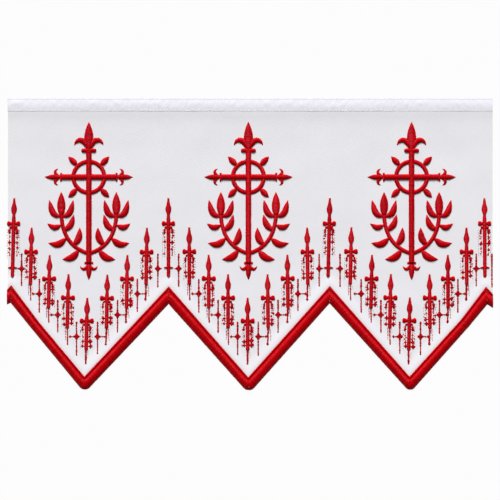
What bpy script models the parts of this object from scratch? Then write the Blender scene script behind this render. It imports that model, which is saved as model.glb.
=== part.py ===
"""Altar cloth: a cut length of white twill edging with a turned heading along its top and three
points along its bottom, bound by a padded red border. It lies flat, face up.

+X runs along the cloth, +Y up its face towards the heading, and +Z out of its face. The origin is at
the middle of the outline, on the surface that the cloth lies on. Run it with
blender --background --python part.py.
"""

import math

import bmesh
import bpy
from mathutils import Vector

MM = 0.001

# The cloth: one sheet, whose top edge is turned over to the face and sewn down as the heading.
CLOTH_WIDTH = 484.8 * MM
CLOTH_THICK = 1.0 * MM
TOP_Y = 145.8 * MM
HEADING_DEPTH = 12.4 * MM
LAYER_GAP = 0.3 * MM  # between the heading's two layers, and between any two pieces
FOLD_STEPS = 8  # straight steps round the fold of the heading
FACE = CLOTH_THICK + LAYER_GAP  # where what lies on the cloth begins

# The border's corners along the points, left to right, in millimetres: inner is its edge towards the
# heading, outer its edge towards the outside, and r rounds a corner.
CORNER_COLUMNS = ("inner_x", "inner_y", "inner_r", "outer_x", "outer_y", "outer_r")
CORNERS = (
    (-242.9, -45.6, 0.0, -242.9, -60.0, 0.0),  # left end, cut through the start of a point
    (-238.5, -41.2, 0.5, -239.4, -58.2, 0.8),  # peak
    (-211.1, -77.7, 0.0, -218.7, -83.7, 0.0),  # slight bend
    (-165.5, -132.4, 1.0, -165.4, -148.5, 6.6),  # tip of the first point
    (-81.2, -42.4, 0.5, -81.3, -59.6, 0.8),  # peak
    (-1.7, -133.1, 1.0, -1.1, -149.4, 7.2),  # tip of the middle point
    (79.7, -42.0, 0.5, 79.6, -58.9, 0.8),  # peak
    (159.4, -132.4, 1.0, 160.1, -148.2, 5.8),  # tip of the last point
    (211.1, -75.3, 0.0, 219.0, -81.9, 0.0),  # slight bend
    (235.9, -42.7, 0.5, 237.2, -59.9, 0.8),  # peak
    (242.9, -50.1, 0.0, 242.9, -63.6, 0.0),  # right end, cut through the start of a point
)
ARC_STEPS = 6  # straight steps round a rounded corner

# Across the border, which is 10 to 11 mm wide, places are shares of the way from inner to outer.
ROW_END = 0.135  # the narrow row of stitching runs from 0 to here
ROLL_START = 0.167
CLOTH_END = 0.81  # the cloth's cut edge, inside the roll
WALL_START = 0.842  # the roll wraps the cut edge from here to 1
ROW_HEIGHT = 1.1 * MM
ROLL_TOP = 3.3 * MM
SECTION_STEPS = 12  # straight steps over a rounded top
SQUARENESS = 0.8  # 1 for an elliptical top, less for a squarer one

MARGIN = 20 * MM  # how far a cutter runs past what it cuts

TWILL_WHITE = (0.79, 0.78, 0.81, 1.0)
THREAD_RED = (0.46, 0.005, 0.009, 1.0)


def clear_scene():
    """Removes whatever the file holds, such as the startup cube."""
    for old in list(bpy.data.objects):
        bpy.data.objects.remove(old, do_unlink=True)


def new_collection(name, shown=True):
    collection = bpy.data.collections.new(name)
    collection.hide_render = not shown
    bpy.context.scene.collection.children.link(collection)
    return collection


def textile(name, color, roughness, sheen):
    """A woven or stitched finish, as a Principled material."""
    material = bpy.data.materials.new(name)
    material.use_nodes = True
    shader = material.node_tree.nodes["Principled BSDF"]
    shader.inputs["Base Color"].default_value = color
    shader.inputs["Roughness"].default_value = roughness
    shader.inputs["Sheen Weight"].default_value = sheen
    shader.inputs["Metallic"].default_value = 0.0
    return material


def rounded(corners):
    """The open line through corners, each an (X, Y) place and a radius for the arc at it."""
    line = []
    for index, (corner, radius) in enumerate(corners):
        if radius == 0:
            line.append(corner)
            continue
        back = (corners[index - 1][0] - corner).normalized()
        ahead = (corners[index + 1][0] - corner).normalized()
        half = back.angle(ahead) / 2
        centre = corner + (back + ahead).normalized() * (radius / math.sin(half))
        start = corner + back * (radius / math.tan(half)) - centre
        end = corner + ahead * (radius / math.tan(half)) - centre
        for step in range(ARC_STEPS + 1):
            spoke = start.lerp(end, step / ARC_STEPS).normalized() * radius
            line.append(centre + spoke)
    return line


def border_stations():
    """Pairs of places along the border, left to right: one on its inner edge, one on its outer."""
    inner = []
    outer = []
    for corner in CORNERS:
        row = {name: value * MM for name, value in zip(CORNER_COLUMNS, corner)}
        inner.append((Vector((row["inner_x"], row["inner_y"])), row["inner_r"]))
        outer.append((Vector((row["outer_x"], row["outer_y"])), row["outer_r"]))
    return list(zip(rounded(inner), rounded(outer)))


def outline_solid(name, outline, low, high, collection):
    """A flat outline in XY, filled, and standing from low to high along Z."""
    curve = bpy.data.curves.new(name, "CURVE")
    curve.dimensions = "2D"
    curve.fill_mode = "BOTH"
    curve.extrude = (high - low) / 2
    spline = curve.splines.new("POLY")
    spline.points.add(len(outline) - 1)
    for point, place in zip(spline.points, outline):
        point.co = (place[0], place[1], 0.0, 1.0)
    spline.use_cyclic_u = True
    drawn = bpy.data.objects.new(name + "_outline", curve)
    drawn.location.z = (low + high) / 2
    collection.objects.link(drawn)
    return as_mesh(drawn, name, collection)


def as_mesh(drawn, name, collection):
    """A mesh object made from a curve object, which it replaces."""
    bpy.context.view_layer.update()
    graph = bpy.context.evaluated_depsgraph_get()
    mesh = bpy.data.meshes.new_from_object(drawn.evaluated_get(graph))
    mesh.name = name
    mesh.transform(drawn.matrix_world)
    bpy.data.curves.remove(drawn.data)
    body = bmesh.new()
    body.from_mesh(mesh)
    bmesh.ops.remove_doubles(body, verts=body.verts, dist=0.001 * MM)
    bmesh.ops.recalc_face_normals(body, faces=body.faces)
    body.to_mesh(mesh)
    body.free()
    solid = bpy.data.objects.new(name, mesh)
    collection.objects.link(solid)
    return solid


def rounded_over(first, last, low_first, low_last, top):
    """Half a section: (share across, height) from one foot, over a rounded top, to the other foot."""
    line = []
    for step in range(SECTION_STEPS + 1):
        turn = math.pi * step / SECTION_STEPS
        swing = math.copysign(abs(math.cos(turn)) ** SQUARENESS, math.cos(turn))
        share = (first + last) / 2 - swing * (last - first) / 2
        low = low_first if step <= SECTION_STEPS / 2 else low_last
        rise = abs(math.sin(turn)) ** SQUARENESS if 0 < step < SECTION_STEPS else 0.0
        line.append((share, low + (top - low) * rise))
    return line


def loft_along_border(name, section, collection):
    """A solid whose closed section, a list of (share across, height), follows the whole border."""
    stations = border_stations()
    body = bmesh.new()
    bmesh.ops.create_grid(
        body, x_segments=len(section), y_segments=len(stations) - 1, size=1.0
    )
    body.verts.ensure_lookup_table()
    ring = [*section, section[0]]
    for index, vert in enumerate(body.verts):
        inner, outer = stations[index // len(ring)]
        share, height = ring[index % len(ring)]
        place = inner.lerp(outer, share)
        vert.co = (place.x, place.y, height)
    bmesh.ops.remove_doubles(body, verts=body.verts, dist=0.001 * MM)
    bmesh.ops.holes_fill(body, edges=body.edges, sides=0)
    bmesh.ops.recalc_face_normals(body, faces=body.faces)
    mesh = bpy.data.meshes.new(name)
    body.to_mesh(mesh)
    body.free()
    solid = bpy.data.objects.new(name, mesh)
    collection.objects.link(solid)
    return solid


def cut(solid, cutter, name):
    """Takes the cutter's volume out of the solid."""
    cutter.hide_render = True
    cutter.display_type = "WIRE"
    difference = solid.modifiers.new(name, "BOOLEAN")
    difference.operation = "DIFFERENCE"
    difference.solver = "EXACT"
    difference.object = cutter


def heading_section():
    """The cloth's section across its width, as (Y, Z): up from the points, over the fold and down."""
    lowest = min(outer.y for inner, outer in border_stations()) - MARGIN
    inner = LAYER_GAP / 2
    outer = CLOTH_THICK + inner
    fold_y = TOP_Y - outer
    heading_y = TOP_Y - HEADING_DEPTH
    turns = [
        math.pi * (step / FOLD_STEPS - 0.5) for step in range(FOLD_STEPS + 1)
    ]
    over = [
        (fold_y + outer * math.cos(turn), outer + outer * math.sin(turn))
        for turn in turns
    ]
    under = [
        (fold_y + inner * math.cos(turn), outer + inner * math.sin(turn))
        for turn in reversed(turns)
    ]
    face_layer = [(heading_y, 2 * outer), (heading_y, CLOTH_THICK + LAYER_GAP)]
    return [(lowest, 0.0), *over, *face_layer, *under, (lowest, CLOTH_THICK)]


def make_cloth(collection, cutters, material):
    """The sheet: its folded section run along X, then cut to the points along its bottom."""
    half = CLOTH_WIDTH / 2
    cloth = outline_solid("cloth_panel", heading_section(), -half, half, collection)
    # The section is drawn in XY and stands along Z; this turns it to lie in YZ and run along X.
    turned = bmesh.new()
    turned.from_mesh(cloth.data)
    for vert in turned.verts:
        vert.co = (vert.co.z, vert.co.x, vert.co.y)
    bmesh.ops.recalc_face_normals(turned, faces=turned.faces)
    turned.to_mesh(cloth.data)
    turned.free()
    edge = [inner.lerp(outer, CLOTH_END) for inner, outer in border_stations()]
    left = edge[0].x - MARGIN
    right = edge[-1].x + MARGIN
    below = min(point.y for point in edge) - 2 * MARGIN
    outline = [(left, edge[0].y), *edge, (right, edge[-1].y), (right, below), (left, below)]
    points = outline_solid("points_cutter", outline, -MARGIN, MARGIN, cutters)
    cut(cloth, points, "cut to points")
    cloth.data.materials.append(material)
    return cloth


def make_row(collection, material):
    """The narrow raised row of stitching along the inside of the border, on the cloth's face."""
    section = rounded_over(0.0, ROW_END, FACE, FACE, FACE + ROW_HEIGHT)
    row = loft_along_border("border_row", section, collection)
    row.data.materials.append(material)
    return row


def make_roll(collection, material):
    """The padded roll: it lies over the cloth's edge and wraps it down to the surface below."""
    over = rounded_over(ROLL_START, 1.0, FACE, 0.0, ROLL_TOP)
    rebate = [(WALL_START, 0.0), (WALL_START, FACE)]
    roll = loft_along_border("border_roll", over + rebate, collection)
    roll.data.materials.append(material)
    return roll


def shade(solid):
    """Smooth across the rounded edges, sharp at the real corners."""
    solid.data.shade_smooth()
    solid.data.set_sharp_from_angle(angle=math.radians(40))


def main():
    clear_scene()
    shown = new_collection("altar_cloth")
    cutters = new_collection("cutters", shown=False)
    twill = textile("white_twill", TWILL_WHITE, roughness=0.8, sheen=0.2)
    thread = textile("red_thread", THREAD_RED, roughness=0.45, sheen=0.1)
    make_cloth(shown, cutters, twill)
    for trim in (make_row(shown, thread), make_roll(shown, thread)):
        shade(trim)


main()
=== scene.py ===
"""Altar cloth: the finished look of a cut length of white twill edging, cut to three points along
its bottom, bound with a padded red border and embroidered in red. It lies flat, face up.

+X runs along the cloth, +Y up its face towards the heading and +Z out of its face, in metres.
"""

import math
import random

import bmesh
import bpy
from mathutils import Matrix, Vector, geometry, noise


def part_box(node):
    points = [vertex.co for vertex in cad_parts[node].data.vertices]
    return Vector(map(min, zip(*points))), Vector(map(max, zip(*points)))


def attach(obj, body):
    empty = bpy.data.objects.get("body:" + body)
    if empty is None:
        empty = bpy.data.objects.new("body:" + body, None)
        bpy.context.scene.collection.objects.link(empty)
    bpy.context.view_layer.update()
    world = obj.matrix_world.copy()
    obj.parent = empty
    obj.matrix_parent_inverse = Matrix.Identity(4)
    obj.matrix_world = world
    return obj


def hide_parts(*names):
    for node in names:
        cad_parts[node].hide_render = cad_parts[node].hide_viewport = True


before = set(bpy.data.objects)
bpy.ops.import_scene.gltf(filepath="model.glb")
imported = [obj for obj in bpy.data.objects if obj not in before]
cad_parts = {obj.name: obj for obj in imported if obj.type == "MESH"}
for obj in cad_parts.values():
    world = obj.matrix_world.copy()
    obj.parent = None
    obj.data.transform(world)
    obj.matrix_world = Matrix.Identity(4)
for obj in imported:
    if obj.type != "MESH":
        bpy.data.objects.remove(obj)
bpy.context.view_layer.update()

# ------------------------
# The twill cloth. One sheet of bleached cotton twill, cut to three points inside its border, has its
# top edge turned over to the face as a heading, which shows the cloth's reverse. Heading and border
# hold it a little off the surface it lies on, and the embroidery draws it into soft hollows.
MM = 0.001
CLOTH_THICK = 0.34 * MM
CLOTH_REST = 0.75 * MM  # how high its middle is over the surface it lies on
LEAST_GAP = 0.1 * MM  # between that surface and its underside
HEADING_RISE = (  # how far below its top, and how high the heading lifts it, in millimetres
    (0.0, 0.57), (1.8, 0.63), (3.0, 0.675), (4.4, 0.725), (6.0, 0.77), (7.7, 0.81),
    (9.2, 0.815), (10.4, 0.81), (11.4, 0.80), (12.5, 0.77), (13.0, 0.75), (16.0, 0.475),
    (18.0, 0.33), (20.0, 0.23), (24.0, 0.09), (30.0, 0.0),
)
BORDER_LIFT = 1.0 * MM  # the border lifts it too, up to this far away
BORDER_FADE = 13 * MM
CLEAR_OF_BORDER = -20 * MM  # above this y, the border is out of reach
BORDER_DIP = 0.25 * MM  # the border's stitches draw the cloth down just beside them
DIP_REACH = 3.5 * MM
GROOVE_DIP = 0.45 * MM  # and more under the groove between its two columns
GROOVE_REACH = 1.6 * MM
WAVE = 34 * MM  # slight waves all over the cloth, and finer ones on them
WAVE_HEIGHT = 0.16  # both heights are in millimetres
FINE_WAVE = 9 * MM
FINE_WAVE_HEIGHT = 0.035
COLUMN_STEP = 1.25 * MM  # from one column of faces to the next
EDGE_STEP = 0.12 * MM  # narrow faces along each raw edge keep its corner crisp
PANEL_ROWS = 84
ROW_BUNCHING = 1.7  # above 1, rows lie closer together towards the border

# The corners of the border, left to right, in millimetres: x and y on its inner edge, x and y on its
# outer edge, and the radius that rounds the outer corner.
CORNERS = (
    (-242.9, -45.6, -242.9, -60.0, 0.0),  # left end, inside a point
    (-238.5, -41.2, -239.4, -58.2, 0.0),  # peak
    (-211.1, -77.7, -218.7, -83.7, 0.0),  # slight bend
    (-165.5, -132.4, -165.4, -148.5, 6.6),  # tip of the first point
    (-81.2, -42.4, -81.3, -59.6, 0.0),  # peak
    (-1.7, -133.1, -1.1, -149.4, 7.2),  # tip of the middle point
    (79.7, -42.0, 79.6, -58.9, 0.0),  # peak
    (159.4, -132.4, 160.1, -148.2, 5.8),  # tip of the last point
    (211.1, -75.3, 219.0, -81.9, 0.0),  # slight bend
    (235.9, -42.7, 237.2, -59.9, 0.0),  # peak
    (242.9, -50.1, 242.9, -63.6, 0.0),  # right end, inside a point
)
ARC_STEPS = 8  # straight steps round a rounded corner
CUT_EDGE = 0.7  # the cloth's cut edge lies this share of the way across the border
LEFT_INSET = 0.5 * MM  # the visible cloth ends this far inside the solid's left end
HEADING_OVERHANG = 0.35 * MM  # past that end

# The sheet from the heading's free edge up and over the fold, in millimetres: how far below the top,
# how high its middle is over the cloth's, and how much of its thickness the pressing left there.
FOLD = (
    (13.0, 0.182, 0.05), (12.97, 0.183, 0.055), (12.5, 0.205, 0.17), (12.0, 0.22, 0.27),
    (11.4, 0.24, 0.38), (10.4, 0.27, 0.55), (9.2, 0.295, 0.7), (7.7, 0.32, 0.85),
    (6.0, 0.337, 0.95), (4.4, 0.345, 1.0), (3.0, 0.345, 1.0), (1.8, 0.345, 1.0),
    (0.9, 0.34, 1.0), (0.4, 0.28, 1.0), (0.2, 0.18, 1.0), (0.4, 0.06, 1.0), (1.1, 0.0, 1.0),
)
FOLD_ROW = len(FOLD) - 4  # the last row on the face, at the fold
FOLD_END = 2.0 * MM  # how far below the top the panel's own rows begin
RAW_START = 9.0  # from here down, in millimetres, the heading's raw edge grows uneven
RAW_DEPTH = 3.0
RAW_SWAY = 0.3 * MM
RAW_WAVE = 12 * MM
PUCKER = 2.8 * MM  # about half the width of a pucker in the heading
PUCKER_LENGTH = 8  # in millimetres, as are all lengths below without MM
FINE_PUCKERS = 2.1  # finer ones are this many times closer together
FINE_PUCKER_LENGTH = 5
FINE_PUCKER_HEIGHT = 0.6  # as a share of the others
PUCKER_HEIGHT = 0.32
PUCKER_SPREAD = 0.35  # above 0, puckers are wider than the hollows between them
PUCKER_RISE = 5  # from the top of the cloth
PUCKER_END = 12.6
PUCKER_FALL = 7
SEAM_BELOW_TOP = 12.1
SEAM_PITCH = 3.5 * MM
SEAM_REACH = 1.6  # this near the seam, the heading rises between stitches and gapes
SEAM_RISE = 0.012
GAPE = 0.01
GAPE_LENGTH = 26 * MM

# Soft swells, and hollows below 0, listed in millimetres: x, y, reach along x and y, height.
SWELLS = (
    (-190, 84, 24, 20, -0.34), (-128, 92, 26, 16, -0.30), (-80, 60, 22, 50, 0.26),
    (-36, 86, 22, 22, -0.32), (34, 92, 26, 16, -0.28), (82, 58, 24, 46, 0.28),
    (126, 86, 22, 24, -0.30), (196, 90, 24, 18, -0.34), (-224, 20, 14, 60, 0.22),
    (226, 24, 12, 60, 0.20), (-163, -62, 26, 22, 0.20), (-2, -64, 28, 22, 0.22),
    (160, -62, 26, 22, 0.20), (-112, -12, 14, 26, -0.20), (50, -10, 14, 24, -0.18),
    (112, -14, 16, 24, -0.18), (-52, -12, 14, 26, -0.20),
)


def rounded(corners):
    """The open line through corners, each a place and the radius of the arc at it."""
    line = []
    for index, (corner, radius) in enumerate(corners):
        if radius == 0:
            line.append(corner)
            continue
        back = (corners[index - 1][0] - corner).normalized()
        ahead = (corners[index + 1][0] - corner).normalized()
        half = back.angle(ahead) / 2
        centre = corner + (back + ahead).normalized() * (radius / math.sin(half))
        start = corner + back * (radius / math.tan(half)) - centre
        end = corner + ahead * (radius / math.tan(half)) - centre
        for step in range(ARC_STEPS + 1):
            line.append(centre + start.lerp(end, step / ARC_STEPS).normalized() * radius)
    return line


def value_at(line, x):
    """The second number of a line of places at x, its first number, which rises along it."""
    for before, after in zip(line, line[1:]):
        if x <= after[0]:
            share = (x - before[0]) / (after[0] - before[0])
            return before[1] + (after[1] - before[1]) * max(0.0, share)
    return line[-1][1]


def distance_to(line, place):
    """How far place is from an open line."""
    nearest = 1.0
    for before, after in zip(line, line[1:]):
        run = after - before
        share = max(0.0, min(1.0, (place - before).dot(run) / run.length_squared))
        nearest = min(nearest, (before + run * share - place).length)
    return nearest


def runs_along(line):
    """How far along a line each of its places is."""
    runs = [0.0]
    for before, after in zip(line, line[1:]):
        runs.append(runs[-1] + (after - before).length)
    return runs


def eased(share):
    """0 to 1 along a soft curve that is level at both ends."""
    share = max(0.0, min(1.0, share))
    return share * share * (3 - 2 * share)


inner_line = []
outer_corners = []
for inner_x, inner_y, outer_x, outer_y, radius in CORNERS:
    inner_line.append(Vector((inner_x, inner_y)) * MM)
    outer_corners.append((Vector((outer_x, outer_y)) * MM, radius * MM))
outer_line = rounded(outer_corners)
panel_low, panel_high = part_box("cloth_panel")
top_y = panel_high.y


def cloth_middle(place):
    """The height of the middle of the cloth's thickness at an (x, y) place."""
    height = CLOTH_REST
    height += value_at(HEADING_RISE, (top_y - place.y) / MM) * MM
    inside = value_at(inner_line, place.x) - place.y
    if inside > 0:
        height += BORDER_LIFT - BORDER_DIP - GROOVE_DIP * eased(inside / GROOVE_REACH)
    elif place.y < CLEAR_OF_BORDER:
        away = distance_to(inner_line, place)
        height += BORDER_LIFT * eased(1 - away / BORDER_FADE)
        height -= BORDER_DIP * max(0.0, 1 - away / DIP_REACH) ** 2
    for x, y, reach_x, reach_y, swell in SWELLS:
        across = (place.x / MM - x) / reach_x
        down = (place.y / MM - y) / reach_y
        height += swell * MM * math.exp(-across * across - down * down)
    wave = noise.noise(Vector((place.x, place.y, 0.0)) / WAVE)
    fine = noise.noise(Vector((place.x, place.y, 0.2)) / FINE_WAVE)
    height += (WAVE_HEIGHT * wave + FINE_WAVE_HEIGHT * fine) * MM
    return max(height, CLOTH_THICK / 2 + LEAST_GAP)


def cloth_face(place):
    return cloth_middle(place) + CLOTH_THICK / 2


def heading_over(x, below_top, over):
    """How high the heading's middle is over the cloth's at x, in millimetres, with its puckers."""
    crimp = noise.noise(Vector((x / PUCKER, below_top / PUCKER_LENGTH, 0.0)))
    fine = noise.noise(Vector((x / PUCKER * FINE_PUCKERS, below_top / FINE_PUCKER_LENGTH, 7.0)))
    crimp += FINE_PUCKER_HEIGHT * fine
    puckers = PUCKER_HEIGHT * max(0.0, crimp + PUCKER_SPREAD) * eased(below_top / PUCKER_RISE)
    puckers *= eased((PUCKER_END - below_top) / PUCKER_FALL)
    near_seam = max(0.0, 1 - abs(below_top - SEAM_BELOW_TOP) / SEAM_REACH)
    between = SEAM_RISE * near_seam * math.cos(math.tau * x / SEAM_PITCH + math.pi)
    gape = GAPE * near_seam * max(0.0, noise.noise(Vector((x / GAPE_LENGTH, 9.0, 0.0))))
    return over + puckers + max(0.0, between) + gape


def sheet_places(x):
    """The sheet's middle at x, from the heading's free edge over the fold and down to the cut edge."""
    places = []
    for below_top, over, _ in FOLD:
        raw = eased((below_top - RAW_START) / RAW_DEPTH)
        sway = RAW_SWAY * raw * noise.noise(Vector((x / RAW_WAVE, 3.0, 0.0)))
        y = top_y - below_top * MM + sway
        over = heading_over(x, below_top, over)
        places.append(Vector((x, y, cloth_middle(Vector((x, y))) + over * MM)))
    inner_y = value_at(inner_line, x)
    cut_y = inner_y + (value_at(outer_line, x) - inner_y) * CUT_EDGE
    first_y = top_y - FOLD_END
    for step in range(PANEL_ROWS + 1):
        y = cut_y + (first_y - cut_y) * (1 - step / PANEL_ROWS) ** ROW_BUNCHING
        places.append(Vector((x, y, cloth_middle(Vector((x, y))))))
    return places


def hex_color(text):
    """The linear colour of an sRGB hex value."""
    parts = [int(text[i : i + 2], 16) / 255 for i in (0, 2, 4)]
    linear = [p / 12.92 if p <= 0.04045 else ((p + 0.055) / 1.055) ** 2.4 for p in parts]
    return (*linear, 1.0)


def add_node(tree, kind, inputs, **settings):
    """A node with its settings. inputs go by name or number, and are sockets or values."""
    node = tree.nodes.new("ShaderNode" + kind)
    for name, value in settings.items():
        setattr(node, name, value)
    for key, value in inputs.items():
        if isinstance(value, bpy.types.NodeSocket):
            tree.links.new(value, node.inputs[key])
        else:
            node.inputs[key].default_value = value
    return node


def band_scale(period):
    """The Wave texture's scale that puts its bands period metres apart."""
    return math.tau / 20 / period


def new_finish(name, inputs):
    """A material with these inputs of its Principled shader."""
    material = bpy.data.materials.new(name)
    material.use_nodes = True
    shader = material.node_tree.nodes["Principled BSDF"]
    for key, value in inputs.items():
        shader.inputs[key].default_value = value
    return material


def coloured(material, tone, height, strength, depth):
    """The material, once it has its colour and a relief of this height, up to depth in metres."""
    tree = material.node_tree
    shader = tree.nodes["Principled BSDF"]
    relief = {"Height": height, "Strength": strength, "Distance": depth}
    tree.links.new(tone, shader.inputs["Base Color"])
    tree.links.new(add_node(tree, "Bump", relief).outputs[0], shader.inputs["Normal"])
    return material


def new_object(name, body, material):
    """A shown object from a bmesh, with its finish."""
    mesh = bpy.data.meshes.new(name)
    body.to_mesh(mesh)
    body.free()
    mesh.materials.append(material)
    shown = bpy.data.objects.new(name, mesh)
    bpy.context.scene.collection.objects.link(shown)
    return shown


def new_piece(name, body, material):
    """A piece of the cloth, smooth all over, that rides on its one body."""
    piece = new_object(name, body, material)
    piece.data.shade_smooth()
    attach(piece, "root")
    return piece


RIB = 0.7 * MM  # from one rib of the twill to the next
SLUB = 1.3 * MM
PATCH = 22 * MM  # how large the faint patches in its whiteness are


def twill_finish():
    """Bleached cotton twill: matte and soft, with a faint diagonal rib and a cool, lilac cast."""
    material = new_finish(
        "bleached_cotton_twill",
        {"Roughness": 0.85, "Specular IOR Level": 0.2, "Sheen Weight": 0.05, "Sheen Roughness": 0.5},
    )
    tree = material.node_tree
    weave = add_node(tree, "UVMap", {}, uv_map="weave").outputs[0]
    diagonal = (0.0, 0.0, math.radians(40))
    turned = add_node(tree, "Mapping", {"Vector": weave, "Rotation": diagonal})
    relief = add_node(tree, "TexNoise", {"Vector": weave, "Scale": 1 / SLUB})
    # The real rib is too fine to show from far off, so one three times as coarse is added to it.
    for period, bend in ((RIB, 0.6), (3 * RIB, 3.0)):
        wave = {"Scale": band_scale(period), "Distortion": bend, "Detail": 1.0, "Detail Scale": 0.6}
        wave["Vector"] = turned.outputs[0]
        ribs = add_node(tree, "TexWave", wave, bands_direction="X")
        heights = {0: relief.outputs[0], 1: ribs.outputs[1]}
        relief = add_node(tree, "Math", heights, operation="ADD")
    # The white has faint patches. The reverse, which the heading shows, is a little lighter and
    # cooler. Along the fold the white is painted grey: painted shade, a dark line along the fold's edge.
    patch = add_node(tree, "TexNoise", {"Vector": weave, "Scale": 1 / PATCH})
    reverse = add_node(tree, "Attribute", {}, attribute_name="heading")
    fold_painted_shade = add_node(tree, "Attribute", {}, attribute_name="fold")
    tone = hex_color("E4E3E7")
    for share, other in (
        (patch.outputs[0], "E9E8EC"),
        (reverse.outputs["Fac"], "EDEBF3"),
        # painted shade: the grey painted along the fold
        (fold_painted_shade.outputs["Fac"], "B8B5C2"),
    ):
        tones = {0: share, 6: tone, 7: hex_color(other)}
        tone = add_node(tree, "Mix", tones, data_type="RGBA").outputs[2]
    return coloured(material, tone, relief.outputs[0], 0.4, 0.09 * MM)


left_x = panel_low.x + LEFT_INSET
right_x = panel_high.x
steps = round((right_x - left_x) / COLUMN_STEP)
across_cloth = [left_x + (right_x - left_x) * step / steps for step in range(steps + 1)]
across_cloth.insert(1, left_x + EDGE_STEP)
across_cloth.insert(-1, right_x - EDGE_STEP)
strips = [sheet_places(x) for x in across_cloth]
columns = len(strips) - 1
body = bmesh.new()
bmesh.ops.create_grid(body, x_segments=columns, y_segments=len(strips[0]) - 1, size=1.0)
body.verts.ensure_lookup_table()
reverse_layer = body.verts.layers.float.new("heading")
fold_shade_layer = body.verts.layers.float.new("fold")
thick_layer = body.verts.layers.deform.new("thickness")
weave_layer = body.loops.layers.uv.new("weave")
run_down = [runs_along(strip) for strip in strips]
for vert in body.verts:
    row, column = divmod(vert.index, columns + 1)
    vert.co = strips[column][row]
    vert[reverse_layer] = 1.0 if row <= FOLD_ROW else 0.0
    # painted shade: how far the fold's painted grey darkens the cloth here
    vert[fold_shade_layer] = eased(1 - abs(row - FOLD_ROW) / 2)
    vert[thick_layer][0] = FOLD[row][2] if row < len(FOLD) else 1.0
    if row < len(FOLD) and column < 2:
        vert.co.x -= HEADING_OVERHANG
for face in body.faces:
    for loop in face.loops:
        row, column = divmod(loop.vert.index, columns + 1)
        loop[weave_layer].uv = (loop.vert.co.x, run_down[column][row])
bmesh.ops.recalc_face_normals(body, faces=body.faces)
cloth = new_piece("twill_cloth", body, twill_finish())
thickness = cloth.modifiers.new("thickness", "SOLIDIFY")
thickness.thickness = CLOTH_THICK
thickness.offset = 0.0
cloth.vertex_groups.new(name="thickness")
thickness.vertex_group = "thickness"
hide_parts("cloth_panel")

# ------------------------
# The heading's stitching. A line of lockstitch in white cotton thread holds the turned edge down.
# Each stitch is drawn into the cloth at both ends, so it shows as a short raised dash.
SEAM_STITCH = 2.4 * MM
SEAM_THREAD = 0.8 * MM
SEAM_FLATNESS = 0.16  # the stitch's height as a share of its width
SEAM_LIE = 0.05 * MM  # how high the thread's middle lies over the heading

hand = random.Random(7)  # the unevenness of the work, which is the same on each run

shape = bmesh.new()
bmesh.ops.create_uvsphere(shape, u_segments=6, v_segments=5, radius=1.0)
bmesh.ops.rotate(shape, verts=shape.verts, matrix=Matrix.Rotation(math.pi / 2, 3, "Y"))
single_stitch = bpy.data.meshes.new("single_stitch")
shape.to_mesh(single_stitch)
shape.free()


def lay_stitch(body, start, end, width, height, tone=0.0):
    """Adds one short stitch, a slim rounded dash between two (x, y, z) places."""
    run = end - start
    turn = run.to_track_quat("X", "Z").to_matrix().to_4x4()
    size = Matrix.Diagonal((run.length / 2, width / 2, height / 2, 1.0))
    placed = Matrix.Translation((start + end) / 2) @ turn @ size
    first = len(body.verts)
    body.from_mesh(single_stitch)
    body.verts.ensure_lookup_table()
    layer = body.verts.layers.float_vector.get("thread")
    for vert in body.verts[first:]:
        if layer:
            vert[layer] = (start.x + vert.co.x * run.length, start.y, tone)
        vert.co = placed @ vert.co


TWIST = 0.4 * MM  # from one turn of the sewing thread's twist to the next


def cotton_thread_finish():
    """Bleached cotton sewing thread: matte, with a tight twist that breaks its light into flecks."""
    material = new_finish("bleached_cotton_thread", {"Roughness": 0.7, "Specular IOR Level": 0.3})
    tree = material.node_tree
    place = add_node(tree, "TexCoord", {}).outputs["Object"]
    twist = add_node(tree, "TexNoise", {"Vector": place, "Scale": 1 / TWIST})
    tones = {0: twist.outputs[0], 6: hex_color("F0EFF4"), 7: hex_color("FBFAFD")}
    tone = add_node(tree, "Mix", tones, data_type="RGBA")
    return coloured(material, tone.outputs[2], twist.outputs[0], 0.4, 0.05 * MM)


body = bmesh.new()
seam_over = value_at(sorted(row[:2] for row in FOLD), SEAM_BELOW_TOP)
seam_thick = value_at(sorted((row[0], row[2]) for row in FOLD), SEAM_BELOW_TOP) * CLOTH_THICK
for step in range(math.ceil(left_x / SEAM_PITCH), math.floor(right_x / SEAM_PITCH)):
    y = top_y - SEAM_BELOW_TOP * MM + hand.uniform(-0.15, 0.15) * MM
    middle = (step + 0.5) * SEAM_PITCH + hand.uniform(-0.3, 0.3) * MM
    half = SEAM_STITCH / 2 * hand.uniform(0.7, 1.15)
    ends = []
    for x in (middle - half, middle + half):
        z = cloth_middle(Vector((x, y))) + heading_over(x, SEAM_BELOW_TOP, seam_over) * MM
        ends.append(Vector((x, y + hand.uniform(-0.1, 0.1) * MM, z + seam_thick / 2 + SEAM_LIE)))
    lay_stitch(body, *ends, SEAM_THREAD, SEAM_FLATNESS * SEAM_THREAD)
seam = new_piece("heading_stitches", body, cotton_thread_finish())

# ------------------------
# The border roll. Red rayon satin stitch over a cord of padding covers and wraps the cloth's cut
# edge. Its threads lie straight across each arm of the points, and end at a mitre where arms meet.
THREAD = 0.56 * MM  # from one thread to the next along a column of satin stitch
RIDGE = 0.12 * MM  # how deep the furrows between threads are
BUNCH = 1.8 * MM  # threads lie in loose bunches this wide, which catch the light together
BUNCH_HEIGHT = 0.17 * MM
TURNS = 8  # straight steps over a column's crown
DIVE = 0.5 * MM  # how far the threads' ends dip where two columns meet at a mitre
SINK = 0.1 * MM  # how far a column's edges sink into the cloth's face
PULL = 0.07  # how unevenly threads end, in millimetres
LIFT = 0.04  # how unevenly high they lie
EVEN_LENGTH = 1.5 * MM  # threads shorter than this lie more evenly
TONE = 0.5  # how much one thread's tone differs from the next

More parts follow.
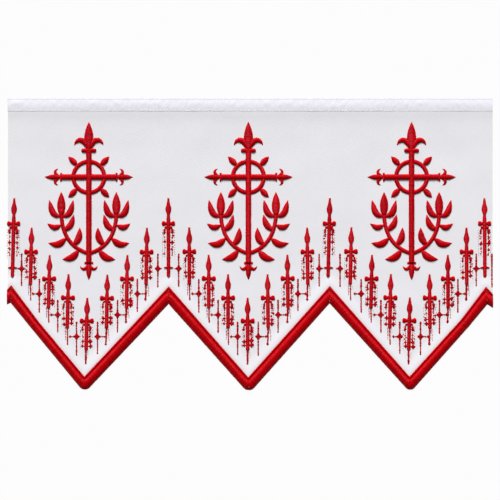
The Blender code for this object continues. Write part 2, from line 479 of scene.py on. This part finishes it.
ROLL_START = 0.17  # shares of the way across the border, which swells past its stitch holes
ROLL_END = 1.023
ROLL_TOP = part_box("border_roll")[1].z + 0.95 * MM  # its loose threads stand above the solid
ROLL_CREST = 0.36  # nearer the inner edge, because the roll wraps the outer one
ROLL_INNER_BEND = 0.45  # squarer on the inside than on the outside
ROLL_OUTER_BEND = 0.6
ROLL_OVERHANG = 0.8 * MM  # how high the roll is at its outermost
ROLL_END_TOP = 0.75  # its height where it is flattened most, as a share
END_TAPER = 2.2 * MM  # the padding is flattened this near the border's cut ends
END_FULLNESS = 0.45
END_PAST = 0.5 * MM
SURFACE_GAP = 0.05 * MM  # between the roll's underside and the surface below
LEAST_STATIONS = 4  # of half threads, in the shortest column
LEAST_CHORD = 0.02 * MM
LEAST_LENGTH = 0.01 * MM
SAME_PLACE = 0.0001 * MM  # corners this near each other are one
END_STEP = 0.02  # an arm's end chords are this share of a station inside its ends


def crown(share, bend):
    """How full a padded column is at a share of the way across it: 0 at its edges, 1 on top. The
    lower bend is, the squarer its shoulders are."""
    return max(0.0, 1 - (2 * share - 1) ** 2) ** bend


def sew_satin(body, chords, height_at, under_at):
    """Adds a column of satin stitch. chords are its half threads' (start, end) places, in order.
    height_at(place, share, length) is the column's top and under_at(place) its underside, where
    share is how far along a chord of that length a place is."""
    ring = [(1 - math.cos(math.pi * step / TURNS)) / 2 for step in range(TURNS + 1)]
    ring = [*ring, 0.85, 0.15, 0.0]  # over the crown, then back along the underside
    layer = body.verts.layers.float_vector.get("thread")
    first = len(body.verts)
    bmesh.ops.create_grid(body, x_segments=len(ring) - 1, y_segments=len(chords) - 1, size=1.0)
    body.verts.ensure_lookup_table()
    seed = hand.uniform(0, 100)
    along = 0.0
    for station, (start, end) in enumerate(chords):
        if station:
            along += (start + end - sum(chords[station - 1], Vector((0.0, 0.0)))).length / 2
        if station % 2 == 0:
            pull = [hand.gauss(0, PULL) * MM for side in range(2)]
            lift = hand.gauss(0, LIFT) * MM
            tone = hand.gauss(0, TONE)
        bunch = noise.noise(Vector((along / BUNCH, seed, 0.0)))
        length = max((end - start).length, LEAST_LENGTH)
        way = (end - start) / length
        room = min(1.0, length / EVEN_LENGTH)
        start = start - way * pull[0] * room
        end = end + way * pull[1] * room
        furrow = RIDGE if station % 2 == 0 else 0.0
        for step, share in enumerate(ring):
            place = start.lerp(end, share)
            vert = body.verts[first + station * len(ring) + step]
            if 0 < step < TURNS:
                z = height_at(place, share, length)
                z += room * (lift + BUNCH_HEIGHT * bunch - furrow) * math.sin(math.pi * share)
            elif step in (TURNS + 1, TURNS + 2):
                z = under_at(place)
            else:
                top = height_at(place, share, length)
                z = max(min(top, cloth_face(place) - SINK), top - DIVE)
                z = max(z, under_at(place) + SINK)
            vert.co = (place.x, place.y, z)
            vert[layer] = (along + seed, share * length, tone + bunch)


def new_stitching():
    """An empty bmesh that keeps, on each vertex, its place along its column and its thread's tone."""
    body = bmesh.new()
    body.verts.layers.float_vector.new("thread")
    return body


FILAMENT = 0.12 * MM  # how wide the filaments' streaks are drawn, and how long
STREAK = 1.6 * MM


def rayon_thread_finish():
    """Twisted rayon embroidery thread, dyed scarlet: smooth and softly lustrous, so that its light
    runs along each column in streaks, with small shifts in tone from thread to thread."""
    material = new_finish(
        "scarlet_rayon_thread",
        {"Roughness": 0.4, "Specular IOR Level": 0.13, "Specular Tint": (1.0, 0.45, 0.9, 1.0)},
    )
    tree = material.node_tree
    thread = add_node(tree, "Attribute", {}, attribute_name="thread").outputs["Vector"]
    parts = add_node(tree, "SeparateXYZ", {0: thread})
    # Real filaments are about 0.02 mm wide. They are drawn at 0.12 mm, so that they show.
    streaks = {"Vector": thread, "Scale": (1 / FILAMENT, 1 / STREAK, 0.0)}
    filaments = add_node(tree, "Mapping", streaks)
    grain = {"Vector": filaments.outputs[0], "Scale": 1.0, "Detail": 2.0}
    strands = add_node(tree, "TexNoise", grain)
    shifts = {0: parts.outputs[2], 1: 0.28, 2: strands.outputs[0]}
    shift = add_node(tree, "Math", shifts, operation="MULTIPLY_ADD")
    tones = {0: shift.outputs[0], 6: hex_color("A00000"), 7: hex_color("D00102")}
    tone = add_node(tree, "Mix", tones, data_type="RGBA")
    threads = {"Vector": thread, "Scale": band_scale(THREAD)}
    rounds = add_node(tree, "TexWave", threads, bands_direction="X")
    reliefs = {0: strands.outputs[0], 1: 0.25, 2: rounds.outputs[1]}
    relief = add_node(tree, "Math", reliefs, operation="MULTIPLY_ADD")
    return coloured(material, tone.outputs[2], relief.outputs[0], 1.0, 0.1 * MM)


rayon = rayon_thread_finish()


def satin_piece(name, body):
    """Closes the columns' long seams and ends, turns their faces outwards and makes the piece."""
    bmesh.ops.remove_doubles(body, verts=body.verts, dist=SAME_PLACE)
    bmesh.ops.holes_fill(body, edges=[edge for edge in body.edges if edge.is_boundary], sides=0)
    bmesh.ops.recalc_face_normals(body, faces=body.faces)
    return new_piece(name, body, rayon)


def border_share(place):
    """How far across the border a place is, from 0 at its inner edge to 1 at its outer."""
    from_inner = distance_to(inner_line, place)
    from_outer = distance_to(outer_line, place)
    if place.y > value_at(inner_line, place.x):
        return from_inner / (from_inner - from_outer)
    if place.y < value_at(outer_line, place.x):
        return from_inner / max(from_inner - from_outer, MM)
    return from_inner / (from_inner + from_outer)


def chord_across(outline, point, across):
    """Where the line through point along across enters and leaves a closed outline, or None."""
    cuts = []
    normal = Vector((-across.y, across.x))
    for a, b in zip(outline, [*outline[1:], outline[0]]):
        side_a, side_b = (a - point).dot(normal), (b - point).dot(normal)
        if (side_a > 0) != (side_b > 0):
            cuts.append(a.lerp(b, side_a / (side_a - side_b)))
    cuts.sort(key=lambda cut: cut.dot(across))
    return (cuts[0], cuts[-1]) if len(cuts) > 1 else None


def border_arms(first_share, last_share):
    """For each arm of the border, its half threads' chords between two shares of the way across. At
    a tip, the corner's arc is halved between the two arms that meet there."""
    arms = []
    middle = ARC_STEPS // 2
    for index in range(len(inner_line) - 1):
        ends = []
        for corner in (index, index + 1):
            place, radius = outer_corners[corner]
            arc = [place]
            if radius:
                arc = rounded(outer_corners[corner - 1 : corner + 2])[1:-1]
                arc = arc[middle:] if corner == index else arc[: middle + 1]
            ends.append((inner_line[corner], arc))
        (inner_a, arc_a), (inner_b, arc_b) = ends
        near_side = [inner_a.lerp(arc_a[0], first_share), inner_b.lerp(arc_b[-1], first_share)]
        far_side = [inner_a.lerp(place, last_share) for place in arc_a]
        far_side += [inner_b.lerp(place, last_share) for place in arc_b]
        outline = [*near_side, *reversed(far_side)]
        way = (inner_b - inner_a).normalized()
        across = Vector((way.y, -way.x))
        low = min(place.dot(way) for place in outline)
        high = max(place.dot(way) for place in outline)
        stations = max(LEAST_STATIONS, round((high - low) / (THREAD / 2)))
        chords = []
        for station in range(stations + 1):
            run = low + (high - low) * (station + END_STEP) / (stations + 2 * END_STEP)
            chord = chord_across(outline, way * run, across)
            if chord and (chord[1] - chord[0]).length > LEAST_CHORD:
                chords.append(chord)
        arms.append(chords)
    return arms


def end_fullness(place):
    """1 along the border, falling to its cut ends, where the padding is flattened."""
    inside = eased((right_x + END_PAST - abs(place.x)) / END_TAPER)
    return END_FULLNESS + (1 - END_FULLNESS) * inside


def roll_height(place, share, length):
    """The roll's top: it springs from the cloth's face and comes down past the cut edge."""
    over = (border_share(place) - ROLL_START) / (ROLL_END - ROLL_START)
    if over < ROLL_CREST:
        foot = cloth_face(place) - SINK
        full = crown(over / ROLL_CREST / 2, ROLL_INNER_BEND)
    else:
        foot = ROLL_OVERHANG
        full = crown(1 - (1 - over) / (1 - ROLL_CREST) / 2, ROLL_OUTER_BEND)
    top = ROLL_TOP * (ROLL_END_TOP + (1 - ROLL_END_TOP) * end_fullness(place))
    return foot + (top - foot) * full


def surface_below(place):
    return SURFACE_GAP


body = new_stitching()
for chords in border_arms(ROLL_START, ROLL_END):
    sew_satin(body, chords, roll_height, surface_below)
roll = satin_piece("satin_border_roll", body)
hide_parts("border_roll")

# ------------------------
# The border row. A narrow cord of the same red satin stitch runs along the inside of the roll on
# the cloth's face, with a furrow between the two.
ROW_START = -0.025  # shares of the way across the border, as for the roll
ROW_END = 0.194
ROW_HEIGHT = 1.5 * MM
ROW_BEND = 0.8
BACK_STAND = 0.05 * MM  # how far the threads stand out of the cloth's back


def row_height(place, share, length):
    over = (border_share(place) - ROW_START) / (ROW_END - ROW_START)
    full = ROW_HEIGHT * crown(over, ROW_BEND) * end_fullness(place)
    return cloth_face(place) - SINK + full


def through_cloth(place):
    return cloth_middle(place) - CLOTH_THICK / 2 - BACK_STAND


body = new_stitching()
for chords in border_arms(ROW_START, ROW_END):
    sew_satin(body, chords, row_height, through_cloth)
row = satin_piece("satin_border_row", body)
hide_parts("border_row")

# ------------------------
# The three flowering crosses. Each is a large Latin cross in padded red satin stitch, with
# fleur-de-lis ends, a ring round its crossing and a branch of lilies up each side. Sizes without MM
# are in millimetres, here and below.
CROSS_MIDDLES = ((-161.1, 43.2), (-1.6, 43.2), (161.5, 43.2))
CROSS_FOOT = -61.5  # from a cross's middle, as are the next three
CROSS_HEAD = 50.0
CROSS_BAR_Y = 24.0
CROSS_BAR_END = 27.5
CROSS_STROKE = 5.8
CROSS_PAD = 1.8 * MM
RING_RADIUS = 15.5
RING_STROKE = 4.4
RING_STEPS = 48
RAY_LENGTH = 12.5
CURVE_PLACES = 20
LEAF_TIP = 0.06  # a leaf's width at its tip, and a rounded stroke's at its ends, as shares
STROKE_END = 0.45
PAD_BEND = 0.6
PAD_SLOPE = 0.3  # a narrow column's padding is this share of its width, and a little more
PAD_LEAST = 0.2 * MM


def padded(pad, raised=0.0):
    """The top of a column whose padding is pad high where it is wide, and lower where it narrows."""

    def height_at(place, share, length):
        full = min(pad, PAD_SLOPE * length + PAD_LEAST)
        return cloth_face(place) - SINK + raised + full * crown(share, PAD_BEND)

    return height_at


def spine_chords(spine, width_at):
    """Half threads' chords across a spine of (x, y) places. width_at(share along) is in metres."""
    runs = runs_along(spine)
    stations = max(LEAST_STATIONS, round(runs[-1] / (THREAD / 2)))
    chords = []
    index = 0
    for station in range(stations + 1):
        run = runs[-1] * station / stations
        while index < len(spine) - 2 and runs[index + 1] < run:
            index += 1
        before, after = spine[index], spine[index + 1]
        place = before.lerp(after, (run - runs[index]) / (runs[index + 1] - runs[index]))
        ahead = spine[min(index + 2, len(spine) - 1)] - spine[max(index - 1, 0)]
        side = Vector((-ahead.y, ahead.x)).normalized() * width_at(station / stations) / 2
        chords.append((place - side, place + side))
    return chords


def leaf_width(widest, blunt):
    """A leaf's width along its spine: a share, blunt, of its widest at the stem, and a fine tip."""

    def width_at(share):
        swell = math.sin(math.pi * share**0.85) ** 0.8 if 0 < share < 1 else 0.0
        return widest * MM * max(swell, blunt * (1 - share), LEAF_TIP)

    return width_at


def even_width(width, rounded_ends=0.0):
    """A stroke's width along its spine, drawn in over a share of its length at each end."""

    def width_at(share):
        end = min(share, 1 - share)
        if end >= rounded_ends:
            return width * MM
        fullness = math.sqrt(1 - (1 - end / rounded_ends) ** 2)
        return width * MM * (STROKE_END + (1 - STROKE_END) * fullness)

    return width_at


def bent(*places):
    """A soft curve from the first place to the last, drawn towards the two between, in millimetres."""
    knots = [(*place, 0.0) for place in places]
    curve = geometry.interpolate_bezier(*knots, CURVE_PLACES)
    return [Vector(place[:2]) * MM for place in curve]


def straight(start, end):
    return [Vector(start) * MM, Vector(start).lerp(Vector(end), 0.5) * MM, Vector(end) * MM]


def turned(spine, angle, scale, middle):
    """A spine turned about the origin, scaled and moved to middle, in millimetres."""
    spun = Matrix.Rotation(angle, 2)
    return [spun @ place * scale + Vector(middle) * MM for place in spine]


def fleur_strokes(angle, scale, middle):
    """A fleur-de-lis that points along +y before it is turned, on a small collar. A stroke is a
    spine, a width along it, and how many millimetres it is raised, where strokes lie over others."""
    strokes = [(straight((0.0, 0.0), (0.0, 29.0)), leaf_width(9.5 * scale, 0.5), 0.1)]
    for side in (-1, 1):
        curl = bent((side * 1.5, 1.0), (side * 2.5, 11.0), (side * 11.0, 15.0), (side * 14.5, 5.5))
        strokes.append((curl, leaf_width(5.8 * scale, 0.4), 0.0))
    strokes.append((straight((-7.5, 0.5), (7.5, 0.5)), even_width(4.2 * scale, 0.2), 0.3))
    return [(turned(spine, angle, scale, middle), *rest) for spine, *rest in strokes]


def branch_strokes(side):
    """A lily branch that springs from the shaft: a curved stem, its leaves and an open flower."""

    def at(x, y):
        return (side * x, y)

    strokes = [(bent(at(1.5, -52), at(14, -48), at(26.5, -38), at(27.5, -14)), even_width(4.2), 0.0)]
    for base, pull, tip, width in (
        ((10.0, -49.0), (16.0, -57.0), (26.5, -58.5), 7.4),
        ((16.0, -44.5), (9.5, -38.0), (9.0, -26.5), 7.2),
        ((22.5, -37.0), (30.5, -44.5), (40.5, -42.0), 7.0),
        ((25.5, -30.0), (17.5, -24.5), (15.0, -13.5), 6.6),
        ((27.5, -24.0), (34.5, -27.5), (41.5, -22.5), 5.8),
        ((27.5, -16.0), (27.5, -5.0), (27.5, 9.0), 8.6),
        ((27.0, -16.0), (18.5, -13.0), (15.5, 1.0), 6.6),
        ((28.0, -16.0), (36.5, -13.0), (39.5, 1.0), 6.6),
    ):
        strokes.append((bent(at(*base), at(*pull), at(*pull), at(*tip)), leaf_width(width, 0.4), 0.05))
    return strokes


def cross_strokes():
    strokes = []
    ring = [
        Vector((math.sin(turn), math.cos(turn))) * RING_RADIUS * MM
        for turn in [math.tau * (step + 0.5) / RING_STEPS for step in range(RING_STEPS + 1)]
    ]
    strokes.append((turned(ring, 0.0, 1.0, (0.0, CROSS_BAR_Y)), even_width(RING_STROKE), 0.0))
    for diagonal in range(4):
        ray = straight((0.0, RING_RADIUS + 1.0), (0.0, RING_RADIUS + 1.0 + RAY_LENGTH))
        turn = math.radians(45 + 90 * diagonal)
        strokes.append((turned(ray, turn, 1.0, (0.0, CROSS_BAR_Y)), leaf_width(6.2, 0.5), 0.05))
    for side in (-1, 1):
        strokes += branch_strokes(side)
    bar = straight((-CROSS_BAR_END, CROSS_BAR_Y), (CROSS_BAR_END, CROSS_BAR_Y))
    strokes.append((bar, even_width(CROSS_STROKE), 0.25))
    shaft = straight((0.0, CROSS_FOOT), (0.0, CROSS_HEAD))
    strokes.append((shaft, even_width(CROSS_STROKE), 0.4))
    strokes += fleur_strokes(0.0, 1.0, (0.0, CROSS_HEAD))
    strokes += fleur_strokes(math.pi, 0.6, (0.0, CROSS_FOOT))
    for side in (-1, 1):
        strokes += fleur_strokes(-side * math.pi / 2, 0.57, (side * CROSS_BAR_END, CROSS_BAR_Y))
    return strokes


for number, middle in enumerate(CROSS_MIDDLES, 1):
    body = new_stitching()
    for spine, width_at, raised in cross_strokes():
        chords = spine_chords(turned(spine, 0.0, 1.0, middle), width_at)
        sew_satin(body, chords, padded(CROSS_PAD, raised * MM), through_cloth)
    satin_piece(f"flowering_cross_{number}", body)

# ------------------------
# The spires. Twenty-five slender spires in red satin stitch stand in rows that follow the points:
# a pointed finial, a knobbed crossbar and a long shaft, sewn over a thin padding, the shaft last.
SPIRE_LEVELS = (46.2, 16.8, -10.6, -30.0, -53.2)  # tips, from the peaks down to the tips of the points
SPIRE_COLUMNS = (  # the tips' places along each point
    (-235.6, -218.2, -200.2, -181.4, -162.6, -142.6, -122.6, -103.0),
    (-81.6, -60.7, -41.3, -22.0, -2.4, 17.5, 37.3, 57.1),
    (79.8, 101.4, 122.0, 140.8, 159.8, 179.5, 197.7, 216.3, 234.3),
)
LOWEST = 4  # the level at a point's tip, and the number of the spire there
SPIRE_LEANS = ((-1.2, -0.8), (0.1, 0.6), (-1.1, 0.3))  # of each point's left and right spires
LEAN_RUN = 50  # a spire leans so far along x over this length
SPIRE_STEPS = 8
FINIAL = (  # distance below the tip, and width
    (0.0, 1.9), (2.2, 2.3), (4.8, 3.1), (7.2, 4.3), (9.0, 5.5), (10.8, 6.1), (12.6, 5.9),
    (14.2, 4.9), (15.6, 3.6), (17.0, 3.2), (19.0, 3.6), (21.0, 4.1), (80.0, 3.8),
)
CROSSBAR = (  # distance from its middle, and height
    (0.0, 3.2), (2.2, 3.2), (3.4, 3.9), (4.5, 5.3), (5.7, 5.5), (6.5, 4.7), (7.1, 2.4),
)
CROSSBAR_REACH = 7.1
CROSSBAR_SHORTER = 0.2  # for each level above the third
# Down a point's side, the crossbars, the shafts' ends and the tails' ends are at these distances
# below the spires' tips. The one at a peak has no tail, and a second, thin bar near its foot.
CROSSBARS_BELOW = (25.6, 24.3, 23.9, 23.7, 23.3)
SHAFT_ENDS = (79.0, 57.2, 53.4, 54.0, 52.7)
TAIL_ENDS = (79.0, 73.0, 68.0, 70.8, 67.0)
SHAFT_FOOT = 0.55  # the shaft's width at its very end, as a share
SHAFT_TAPER = 30  # how soon it has its whole width above that
PEAK_BAR_BELOW = 69.4
PEAK_BAR_REACH = 4.6
PEAK_BAR_ENDS = 0.7  # its width at its ends, and how much more it is at its middle
PEAK_BAR_SWELL = 2.3
SPIRE_PAD = 1.05 * MM
SHAFT_RAISED = 0.2 * MM
PEAK_BAR_PAD = 0.6 * MM


def spires_on(point):
    """Each spire on a point: its tip's x and y, its lean and its level from the peak."""
    found = []
    for index, x in enumerate(SPIRE_COLUMNS[point]):
        level = LOWEST - abs(LOWEST - index)
        found.append((x, SPIRE_LEVELS[level], SPIRE_LEANS[point][index > LOWEST], level))
    return found


def spire_spine(x, tip_y, lean, length):
    """The line down a spire from its tip, in metres."""
    return [
        Vector((x + lean * below / LEAN_RUN, tip_y - below)) * MM
        for below in [length * step / SPIRE_STEPS for step in range(SPIRE_STEPS + 1)]
    ]


def crossbar_width(share):
    return value_at(CROSSBAR, abs(2 * share - 1) * CROSSBAR_REACH) * MM


def shaft_width(length):
    """A spire's width along its shaft, from its tip down to its foot."""

    def width_at(share):
        foot = min(1.0, SHAFT_FOOT + (1 - share) * SHAFT_TAPER)
        return value_at(FINIAL, share * length) * MM * foot

    return width_at


def peak_bar_width(share):
    return MM * (PEAK_BAR_ENDS + PEAK_BAR_SWELL * (1 - abs(2 * share - 1)))


for point in range(3):
    body = new_stitching()
    for x, tip_y, lean, level in spires_on(point):
        tip_y += hand.uniform(-0.3, 0.3)
        bar_x = x + lean * CROSSBARS_BELOW[level] / LEAN_RUN
        bar_y = tip_y - CROSSBARS_BELOW[level]
        tilt = hand.uniform(-0.15, 0.15)
        reach = CROSSBAR_REACH - CROSSBAR_SHORTER * max(0, 2 - level)
        bar = straight((bar_x - reach, bar_y - tilt), (bar_x + reach, bar_y + tilt))
        sew_satin(body, spine_chords(bar, crossbar_width), padded(SPIRE_PAD), through_cloth)
        shaft = spine_chords(
            spire_spine(x, tip_y, lean, SHAFT_ENDS[level]), shaft_width(SHAFT_ENDS[level])
        )
        sew_satin(body, shaft, padded(SPIRE_PAD, SHAFT_RAISED), through_cloth)
        if level == 0:
            bar_x = x + lean * PEAK_BAR_BELOW / LEAN_RUN
            bar_y = tip_y - PEAK_BAR_BELOW
            bar = straight((bar_x - PEAK_BAR_REACH, bar_y), (bar_x + PEAK_BAR_REACH, bar_y))
            bar_pad = padded(PEAK_BAR_PAD, PEAK_BAR_PAD)
            sew_satin(body, spine_chords(bar, peak_bar_width), bar_pad, through_cloth)
    satin_piece(f"spires_{point + 1}", body)

# ------------------------
# The fine stitches between and beside the spires. They are single stitches of the same red thread:
# the spires' tails, a thin cross with a star at its middle between each two spires, and a sprig of
# little star knots down each side of a shaft.
STAR_LEVELS = (-24.3, -49.5, -70.5, -92.3)  # by the level of the higher spire beside the star
STAR_SHIFTS = ((-1.4, 0.2), (-0.2, 0.7), (-0.6, 0.8))  # of each point's left and right stars
STARS = (7.4, 3.4, 2.0)  # sizes: at a cross's middle, at its arm's end, and at the cloth's end
LAST_CROSS_X = 241.8  # the cloth's right end cuts through the last cross
NEXT_SPIRE = 17.0  # from the last spire to the next, which is cut off
CROSS_ABOVE = 15.2
CROSS_BELOW = 18.2
PEAK_ARM = 4.2
LEFT_ARM = 6.4
RIGHT_ARM_SHORT = 1.5  # an arm on the right ends so far short of the next spire
HAIR_OFFSETS = (-1.2, 1.3, 2.3)
SPRIG_OUT = 3.7  # how far a sprig's line and its stem's root are from the shaft's middle
STEM_OUT = 1.6
FOOT_LEAN = 1.1  # times its lean, a spire has leant at its foot, and beside parts of its sprigs
SPRIG_LEAN = 0.8
STEM_LEAN = 0.7
TIE_LEAN = 0.9
STEM_BELOW = (2.8, 4.9, 9.5)  # where a sprig's stem starts, bends and ends, below the crossbar
LINE_BELOW = 9  # where its line of stitches and its outer specks begin
SPECKS_BELOW = 6
SPRIG_FULLNESS = {-1: 1.15, 1: 1.45}  # on the left and on the right of a shaft
# The star knots down a sprig: how far below the crossbar, their size, and whether a stitch ties them
# to the shaft. The first is for the spires at the peaks, the second for all others.
SPRIGS = (
    ((10.0, 3.2, False), (13.5, 2.0, False), (19.2, 4.0, False), (25.2, 2.6, False), (31.0, 1.7, False)),
    ((9.6, 3.4, False), (14.4, 2.2, False), (20.8, 4.4, True), (25.2, 4.2, True)),
)
# Each kind of line: how wide and how long its stitches are, the gap between them, which is below 0
# where they overlap, and how far they sway to a side.
TIP_TAIL = (2.3, 3.0, -1.0, 0.12)
LEFT_TAIL = (1.6, 3.0, -0.8, 0.12)
LEFT_SIDE_LINE = (0.8, 2.4, 0.3, 0.12)
RIGHT_TAIL = (2.2, 3.4, -1.2, 0.3)
RIGHT_SIDE_LINE = (0.7, 2.2, 0.2, 0.4)
HAIR = (0.28, 2.4, 0.6, 0.12)
STEM_WIDTHS = (2.4, 2.0)  # as for SPRIGS
STEM_OUTWARDS = (3.5, -0.8, 0.05)
STEM_DOWN = (3.4, -1.2, 0.12)
SPRIG_LINE = (0.75, 1.9, 0.5, 0.35)
SPRIG_TIE = (0.9, 3.0, -0.5, 0.12)
OUTER_SPECKS = (0.45, 1.2, 1.1, 0.5)
CROSS_HEAD_LINE = (2.0, 2.8, -0.8, 0.12)
CROSS_FOOT_LINE = (1.7, 2.8, -0.7, 0.12)
CROSS_ARM_LINE = (1.5, 1.9, -0.1, 0.12)
STITCH_HEIGHT = 0.55  # as a share of its width
STAR_REACHES = ((0.45, 0.0), (0.0, 0.5))  # of a star's two stitches, as shares of its size
STAR_STITCH = 0.5
STAR_HEIGHT = 0.55 * MM
STAR_LIE = 0.05 * MM


def run_stitches(body, start, end, kind, full=1.0):
    """Adds a line of single stitches of one kind from start to end, in millimetres."""
    width, stitch, gap, sway = kind
    start, end = Vector(start), Vector(end)
    run = end - start
    way = run.normalized()
    side = Vector((-way.y, way.x))
    at = reach = 0.0
    while reach < run.length:
        reach = min(at + stitch * hand.uniform(0.7, 1.4), run.length)
        ends = []
        for along in (at, reach):
            place = (start + way * along + side * hand.uniform(-sway, sway)) * MM
            ends.append(Vector((*place, cloth_face(place))))
        size = width * full * hand.uniform(0.8, 1.2) * MM
        lay_stitch(body, *ends, size, size * STITCH_HEIGHT, hand.gauss(0, TONE))
        at = reach + gap * hand.uniform(0.5, 1.5)


def star_knot(body, x, y, size):
    """Adds a little four-pointed star, of two stitches that cross."""
    for reach_x, reach_y in STAR_REACHES:
        ends = []
        for way in (-1, 1):
            place = Vector((x + way * reach_x * size, y + way * reach_y * size)) * MM
            ends.append(Vector((*place, cloth_face(place) + STAR_LIE)))
        lay_stitch(body, *ends, STAR_STITCH * size * MM, STAR_HEIGHT, hand.gauss(0, TONE))


def sew_tail(body, x, top, end, index):
    """Adds the tail of a point's spire index below its shaft's end, at (x, top), with fine lines."""
    if index == LOWEST:
        run_stitches(body, (x, top + 1), (x - 0.2, end), TIP_TAIL)
    elif index < LOWEST:
        run_stitches(body, (x, top + 1), (x + 0.4, end), LEFT_TAIL)
        run_stitches(body, (x - 2.0, top + 1), (x - 1.7, end + 5), LEFT_SIDE_LINE)
    else:
        run_stitches(body, (x, top + 1), (x - 0.6, end), RIGHT_TAIL)
        star_knot(body, x - 0.6, end + 1.0, STARS[1])
        run_stitches(body, (x + 1.8, top), (x + 2.6, end + 4), RIGHT_SIDE_LINE)
    for offset in HAIR_OFFSETS:
        reach = hand.uniform(3, 8)
        hair_top = top - hand.uniform(0, 2)
        run_stitches(body, (x + offset, hair_top), (x + offset, hair_top - reach), HAIR)


def sew_sprig(body, x, bar_y, lean, level, wing):
    """Adds the sprig on one side of a spire, -1 or 1, from its crossbar down beside its shaft."""
    line_x = x + lean * SPRIG_LEAN + wing * SPRIG_OUT
    root = (x + lean * STEM_LEAN + wing * STEM_OUT, bar_y - STEM_BELOW[0])
    bend = (line_x, bar_y - STEM_BELOW[1])
    foot = (line_x + wing * 0.3, bar_y - STEM_BELOW[2])
    full = SPRIG_FULLNESS[wing]
    bold = STEM_WIDTHS[min(level, 1)]
    run_stitches(body, root, bend, (bold, *STEM_OUTWARDS), full)
    run_stitches(body, bend, foot, (bold, *STEM_DOWN), full)
    sprig = SPRIGS[min(level, 1)]
    reach = sprig[-1][0] + hand.uniform(0.5, 2.5)
    run_stitches(body, (line_x, bar_y - LINE_BELOW), (line_x, bar_y - reach), SPRIG_LINE, full)
    for below, size, tied in sprig:
        y = bar_y - below + hand.uniform(-1.2, 1.2)
        knot_x = line_x + hand.uniform(-0.4, 0.4)
        star_knot(body, knot_x, y, size * full * hand.uniform(0.65, 1.0))
        if tied:
            run_stitches(body, (knot_x, y), (x + lean * TIE_LEAN, y), SPRIG_TIE)
    for fleck in range(hand.randint(4, 9)):
        y = bar_y - hand.uniform(8, reach)
        fleck_x = line_x + wing * hand.uniform(-1.0, 2.0)
        star_knot(body, fleck_x, y, full * hand.uniform(0.9, 1.9))
    outer_x = line_x + wing * hand.uniform(1.9, 2.4)
    specks_end = (outer_x, bar_y - reach - 1)
    run_stitches(body, (outer_x, bar_y - SPECKS_BELOW), specks_end, OUTER_SPECKS, full)


def sew_thin_cross(body, x, right_x, level, on_right):
    """Adds the thin cross between two spires. Its one arm points out from the point's middle."""
    whole = x < LAST_CROSS_X
    y = STAR_LEVELS[level]
    run_stitches(body, (x, y + CROSS_ABOVE), (x, y), CROSS_HEAD_LINE)
    run_stitches(body, (x, y), (x, y - CROSS_BELOW + hand.uniform(-1, 1)), CROSS_FOOT_LINE)
    star_knot(body, x, y, STARS[0] if whole else STARS[2])
    far = right_x - RIGHT_ARM_SHORT if on_right else x - LEFT_ARM
    if level == 0:
        far = x + (PEAK_ARM if on_right else -PEAK_ARM)
    if whole:
        run_stitches(body, (x, y), (far, y), CROSS_ARM_LINE)
        if level:
            star_knot(body, far, y, STARS[1])


for point in range(3):
    body = new_stitching()
    own = spires_on(point)
    for index, (x, tip_y, lean, level) in enumerate(own):
        if level:
            shaft_end = tip_y - SHAFT_ENDS[level]
            sew_tail(body, x + lean * FOOT_LEAN, shaft_end, tip_y - TAIL_ENDS[level], index)
        for wing in (-1, 1):
            sew_sprig(body, x, tip_y - CROSSBARS_BELOW[level], lean, level, wing)
    tips = [(x, level) for x, tip_y, lean, level in own]
    tips.append((SPIRE_COLUMNS[point + 1][0], 0) if point < 2 else (tips[-1][0] + NEXT_SPIRE, 1))
    for (left, left_level), (right, right_level) in zip(tips, tips[1:]):
        on_right = right_level < left_level
        x = min((left + right) / 2 + STAR_SHIFTS[point][on_right], LAST_CROSS_X)
        sew_thin_cross(body, x, right, min(left_level, right_level), on_right)
    bmesh.ops.recalc_face_normals(body, faces=body.faces)
    new_piece(f"fine_stitches_{point + 1}", body, rayon)

# ------------------------
# The studio. A plain white surface that glows, so that shadows hardly show on it, a large soft light
# from the top, a little to the left, an even white sky, and a camera straight above.
CAMERA_LENS = 150.0
CAMERA_SENSOR = 36.0
VIEW_WIDTH = 500 * MM
VIEW_MIDDLE_Y = -5.75 * MM
KEY_HEIGHT = math.radians(30)
KEY_LEFT = math.radians(7)
KEY_SPREAD = math.radians(22)  # how large the light looks from the cloth
KEY_SHARE = 0.83  # of all the light that falls on the cloth
FLOOR_HALF = 6.0  # in metres, half its width

body = bmesh.new()
bmesh.ops.create_grid(body, x_segments=1, y_segments=1, size=FLOOR_HALF)
paper = new_finish(
    "white_studio_surface",
    {
        "Base Color": (0.02, 0.02, 0.02, 1.0),
        "Roughness": 1.0,
        "Specular IOR Level": 0.0,
        "Emission Color": (1.0, 1.0, 1.0, 1.0),
        "Emission Strength": 0.96,
    },
)
floor = new_object("floor", body, paper)

key = bpy.data.lights.new("key", "SUN")
key.energy = KEY_SHARE * math.pi / math.sin(KEY_HEIGHT)
key.angle = KEY_SPREAD
key_light = bpy.data.objects.new("key", key)
towards = Vector(
    (
        -math.sin(KEY_LEFT) * math.cos(KEY_HEIGHT),
        math.cos(KEY_LEFT) * math.cos(KEY_HEIGHT),
        math.sin(KEY_HEIGHT),
    )
)
key_light.rotation_euler = towards.to_track_quat("Z", "Y").to_euler()
bpy.context.scene.collection.objects.link(key_light)

world = bpy.data.worlds.new("even_sky")
world.use_nodes = True
sky = world.node_tree.nodes["Background"]
sky.inputs["Color"].default_value = (1.0, 1.0, 1.0, 1.0)
sky.inputs["Strength"].default_value = 1 - KEY_SHARE
bpy.context.scene.world = world
bpy.context.scene.view_settings.view_transform = "Standard"

camera_data = bpy.data.cameras.new("camera")
camera_data.lens = CAMERA_LENS
camera_data.sensor_width = CAMERA_SENSOR
camera = bpy.data.objects.new("camera", camera_data)
camera.location = (0.0, VIEW_MIDDLE_Y, VIEW_WIDTH * CAMERA_LENS / CAMERA_SENSOR)
bpy.context.scene.collection.objects.link(camera)
bpy.context.scene.camera = camera
